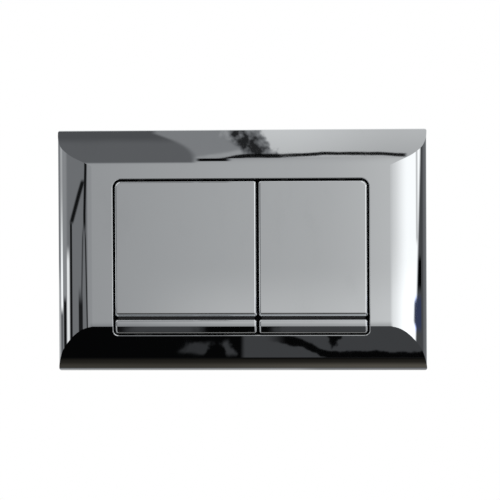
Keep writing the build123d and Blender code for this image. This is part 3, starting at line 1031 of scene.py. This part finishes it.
@dataclass
class Studio:
    """Pale floor, soft lamps and the room that the chrome mirrors."""

    floor_z: float = -0.30
    floor_half: float = 1.1
    floor_lines: int = 9
    floor_roughness: float = 0.7
    lamps: dict[str, tuple[Vector, float, float]] = field(
        default_factory=lambda: {
            "front_lamp": (Vector((-0.9, -1.5, 1.5)), 1.2, 16.0),
            "back_lamp": (Vector((0.9, 1.6, 1.2)), 1.4, 26.0),
        }
    )

    def room(self) -> None:
        """Draw the world: white to the camera, and a room of soft cards in the mirror.

        A direction is read as its part x to the right, as degrees sideways and below eye level, and
        as the pitch of its shadow on the middle plane of the plate.
        """
        world = bpy.data.worlds.new("studio_room")
        bpy.context.scene.world = world
        world.use_nodes = True
        graph = Graph(world.node_tree)
        direction = graph.node("ShaderNodeTexCoord")["Generated"]
        x, y, z = graph.parts(direction)
        sideways = x.math("ARCTAN2", -y) * DEGREES
        low = z.math("ARCSINE") * -DEGREES
        pitch = z.math("ARCTAN2", abs(y)) * DEGREES
        ahead = x.band(-0.21, 0.08, 0.08)
        wobble = graph.noise(direction, scale=170.0, detail=3.0, roughness=0.6) - 0.5
        tone = self.front_wall(sideways, low)
        tone = self.left_wall(tone, sideways, low)
        tone = self.right_wall(tone, sideways, low)
        stripe = (sideways * (2 * math.pi / STRIPE_DEGREES)).math("SINE")
        off_walls = abs(low).rise(5.0, 16.0) * (1.0 - ahead)
        tone = tone.towards(off_walls, 0.55 + z * 0.3 + stripe * 0.33)
        tone = self.ceiling(tone, x, pitch, ahead, wobble)
        tone = self.table(tone, x, pitch, ahead, wobble)
        backwards = y.rise(0.0, 0.1) * ahead
        tone = tone.towards(backwards, 0.3 + z.rise(-0.3, 0.3) * 0.35)
        path = graph.node("ShaderNodeLightPath")
        mirrored = path["Is Glossy Ray"].math("MAXIMUM", path["Is Transmission Ray"])
        white = path["Is Camera Ray"].math("MAXIMUM", mirrored * y.rise(0.75, 0.95))
        level = tone.towards(white, 1.0)
        tint = graph.mix(level.rise(0.0, 0.6), COOL, PLAIN)
        brown = (-pitch).band(46.0, 80.0, 6.0) * ahead * (1.0 - white)
        tint = graph.mix(brown, tint, BROWN)
        blue = sideways.band(45.0, 60.0, 4.0) * low.band(2.3, 2.95, 0.2) * (1.0 - white)
        tint = graph.mix(blue, tint, BLUE)
        light = graph.node("ShaderNodeBackground", inputs={"Color": tint, "Strength": level})
        graph.node("ShaderNodeOutputWorld", inputs={"Surface": light["Background"]})

    def front_wall(self, sideways: Term, low: Term) -> Term:
        """Tone of the wall that the plate faces, brighter towards a window on the right.

        Args:
            sideways: degrees to the right of the room's middle.
            low: degrees below eye level.

        Returns:
            The tone, 1 for white.
        """
        dusk = sideways.rise(-10.0, 0.0) * 0.18
        glow = sideways.rise(-2.6, 0.6) * 0.14 + sideways.rise(0.0, 6.0) * 0.06
        window = sideways.rise(0.0, 33.0) * 0.52
        low_left = low.rise(1.6, 2.7) * sideways.rise(-6.5, -4.0) * 0.09
        low_right = low.rise(1.0, 2.4) * sideways.rise(-1.5, 4.0) * 0.12
        skirting = low.rise(2.76, 2.88) * sideways.band(-12.0, 2.0, 6.0) * 0.35
        return (0.33 + dusk + glow + window + low_left + low_right) * (1.0 - skirting)

    def left_wall(self, tone: Term, sideways: Term, low: Term) -> Term:
        """Tone with the grey wall on the left, its dark uprights and two lit strips.

        Args:
            tone: tone so far.
            sideways: degrees to the right of the room's middle.
            low: degrees below eye level.

        Returns:
            The tone.
        """
        shadow = (1.0 - sideways.rise(-17.5, -14.5)) * 0.135
        far_glow = (1.0 - sideways.rise(-60.0, -54.0)) * 0.1
        bent = sideways + low.between(-0.3, 0.6) * 2.6
        post = bent.band(-22.0, -17.4, 1.6) * (1.0 - low.rise(*POST_END))
        brace = (sideways + low * 28.0).band(-29.0, -21.0, 4.0) * low.band(-0.05, 0.8, 0.1)
        dark = post.math("MAXIMUM", brace)
        for upright in UPRIGHTS.values():
            dark = dark.math("MAXIMUM", upright.shade(sideways, low))
        tone = (tone - shadow + far_glow).towards(dark, 0.008)
        lit_edge = sideways.band(-57.2, -51.8, 1.6) * low.rise(1.2, 1.6)
        far_end = 1.0 - sideways.rise(-112.0, -102.0)
        tone = tone.towards(lit_edge, 0.95).towards(far_end, 0.22 + low.rise(1.5, 2.2) * 0.25)
        strip = sideways.band(-97.0, -70.0, 6.0)
        strip_tone = (0.46 + low.rise(-0.1, 2.0) * 0.74).towards(low.rise(2.4, 2.65), 0.14)
        return tone.towards(strip, strip_tone)

    def right_wall(self, tone: Term, sideways: Term, low: Term) -> Term:
        """Tone with the dark wall right of the window, paler again further round.

        Args:
            tone: tone so far.
            sideways: degrees to the right of the room's middle.
            low: degrees below eye level.

        Returns:
            The tone.
        """
        wall = 0.07 + sideways.rise(70.0, 98.0) * 0.09 + sideways.rise(105.0, 137.0) * 0.045
        niche = sideways.band(50.0, 60.0, 2.0) * low.band(1.5, 2.15, 0.2)
        jamb = sideways.band(47.6, 51.2, 1.5) * (1.0 - low.rise(1.1, 1.3)) * 0.45
        frame_edge = sideways + low * 2.8 + low.band(2.35, 2.85, 0.15) * 4.5
        return (tone * (1.0 - jamb)).towards(frame_edge.rise(52.5, 57.5), wall * (1.0 - niche))

    def ceiling(self, tone: Term, x: Term, pitch: Term, ahead: Term, wobble: Term) -> Term:
        """Tone with the ceiling: a dark card on the left, lit on the right, with a dark beam.

        A dark line, thin at its left end, runs along the foot of what the top slope mirrors.

        Args:
            tone: tone so far.
            x: part of the direction to the right.
            pitch: degrees up in the plate's middle plane.
            ahead: share of what lies before the plate.
            wobble: small unevenness about 0.

        Returns:
            The tone.
        """
        lift = ((pitch - TOP_SLOPE_PITCH) / TOP_SLOPE_SPAN).between(0.0, 1.0)
        across = x + wobble * 0.010
        beam_left = (across + lift * 0.0104 + 0.064).rise(-0.0012, 0.0012)
        beam_right = (across + lift * 0.0058 + 0.054).rise(-0.0012, 0.0012)
        grey = 0.25 + (pitch - across * 10.0).band(63.1, 63.25, 0.08) * 0.12
        lit = 0.57 - x.rise(-0.055, -0.012) * 0.11 + lift * 0.11
        beam = 0.1 + (wobble * 1.4).between(-0.08, 0.3)
        right = grey.towards(beam_right, lit).towards(beam_left * (1.0 - beam_right), beam)
        tone = tone.towards(pitch.rise(62.38, 62.46) * ahead, right)
        edge = x + lift.math("POWER", 2.2) * 0.0139 + 0.0839
        card = (1.0 - edge.rise(-0.0015, 0.0015)) * pitch.rise(18.0, 36.0) * ahead
        tone = tone.towards(card, 0.131 - lift.rise(0.6, 0.9) * 0.04)
        climb = x.rise(-0.080, -0.0645) * 0.087 + x.rise(-0.056, -0.037) * 0.033
        climb = climb - x.rise(-0.0195, -0.011) * 0.022
        seam = pitch - wobble * 0.02 - 62.36 - climb
        thick = 0.020 + x.rise(-0.080, -0.066) * 0.022 - x.rise(-0.06, -0.048) * 0.008
        line = 1.0 - (abs(seam) / thick).rise(0.75, 1.2)
        crease = pitch.rise(35.0, 41.0) * (1.0 - pitch.rise(62.2, 62.4))
        line = line.math("MAXIMUM", crease * x.band(-0.0834, -0.072, 0.003))
        tone = tone.towards(line * x.band(-0.0834, -0.0108, 0.0015) * ahead, BLACK)
        return tone.towards(pitch.rise(64.0, 66.0) * ahead, 0.9)

    def table(self, tone: Term, x: Term, pitch: Term, ahead: Term, wobble: Term) -> Term:
        """Tone with the dark table, grey on the right with black shapes, paler underneath.

        Args:
            tone: tone so far.
            x: part of the direction to the right.
            pitch: degrees up in the plate's middle plane.
            ahead: share of what lies before the plate.
            wobble: small unevenness about 0.

        Returns:
            The tone.
        """
        down = (BOTTOM_SLOPE_PITCH - pitch) / BOTTOM_SLOPE_SPAN + wobble * 0.3
        across = x + wobble * 0.012
        near = across.band(-0.107, -0.082, 0.008) + across.rise(-0.06, -0.052)
        far = x.rise(-0.0685, -0.0665)
        curve = down - 0.33 - x.rise(-0.063, -0.045) * 0.2 - x.rise(-0.049, -0.036) * 0.5
        swing = (1.0 - abs(curve).rise(0.13, 0.19)) * x.rise(-0.06, -0.052)
        wedge = 1.0 - (abs(across + 0.0368) + down * 0.005).rise(0.0035, 0.0045)
        grey = near.towards(down.rise(0.2, 0.3), far * (1.0 - swing.math("MAXIMUM", wedge)))
        streak = (across + down * 0.01).band(-0.0785, -0.0725, 0.003)
        streak = streak * down.band(0.55, 0.95, 0.15) * 0.6
        fine_streak = (across - down * 0.004).band(-0.0775, -0.0735, 0.002)
        streak = streak + fine_streak * down.band(0.5, 1.0, 0.2) * 0.8
        front = 0.002 + grey.math("MAXIMUM", streak) * 0.055
        deep = -pitch
        under = 0.004 + deep.rise(43.0, 56.0) * 0.013
        under = under + deep.rise(56.0, 74.0) * (0.03 + x.rise(-0.1, -0.02) * 0.04)
        under = under + deep.rise(79.0, 89.0) * (0.45 - x.rise(-0.05, -0.04) * 0.2)
        below = front.towards(deep.rise(42.62, 43.1), under)
        return tone.towards(deep.rise(3.6, 11.0) * ahead, below)

    def floor(self) -> None:
        """Lay the pale floor, with a faint unevenness, which the mirror doesn't show."""
        across = np.linspace(-self.floor_half, self.floor_half, self.floor_lines)
        x, y = np.meshgrid(across, across, indexing="xy")
        points = np.stack([x, y, np.full_like(x, self.floor_z)], axis=-1)
        made = sheet("studio_floor", points, wrap_rows=False, wrap_columns=False)
        made.visible_glossy = False
        material = bpy.data.materials.new("pale_floor")
        material.use_nodes = True
        graph = Graph(material.node_tree)
        place = graph.node("ShaderNodeTexCoord")["Object"]
        cloud = graph.noise(place, scale=3.0, detail=3.0)
        colour = graph.mix(cloud, rgba((0.84, 0.84, 0.84)), rgba((0.88, 0.88, 0.88)))
        inputs = {"Base Color": colour, "Roughness": self.floor_roughness}
        shader = graph.node("ShaderNodeBsdfPrincipled", inputs=inputs)
        graph.node("ShaderNodeOutputMaterial", inputs={"Surface": shader["BSDF"]})
        made.data.materials.append(material)

    def light(self) -> None:
        """Hang the soft lamps, which the mirror doesn't show."""
        for name, (place, across, power) in self.lamps.items():
            data = bpy.data.lights.new(name, "AREA")
            data.size = across
            data.energy = power
            made = bpy.data.objects.new(name, data)
            bpy.context.scene.collection.objects.link(made)
            facing = place.to_track_quat("Z", "Y").to_matrix().to_4x4()
            made.matrix_world = Matrix.Translation(place) @ facing
            made.visible_glossy = False

    def set_up(self) -> None:
        """Draw the room, lay the floor and hang the lamps."""
        bpy.context.scene.view_settings.view_transform = "Standard"
        self.room()
        self.floor()
        self.light()


def main() -> None:
    """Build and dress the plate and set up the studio."""
    logging.basicConfig(level=logging.INFO, format="%(name)s: %(message)s")
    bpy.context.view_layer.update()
    wardrobe = Wardrobe()
    shading = ExactShading(PlateForm())
    FrontPlate().dress(wardrobe, shading)
    for size in Size:
        FlushButton(size).dress(wardrobe, shading)
        PushRod(size).dress(wardrobe)
    MountingFrame().dress(wardrobe)
    for side in Side:
        FixingStud(side).dress(wardrobe)
    Studio().set_up()
    Viewpoint().place()


if __name__ == "__main__":
    main()
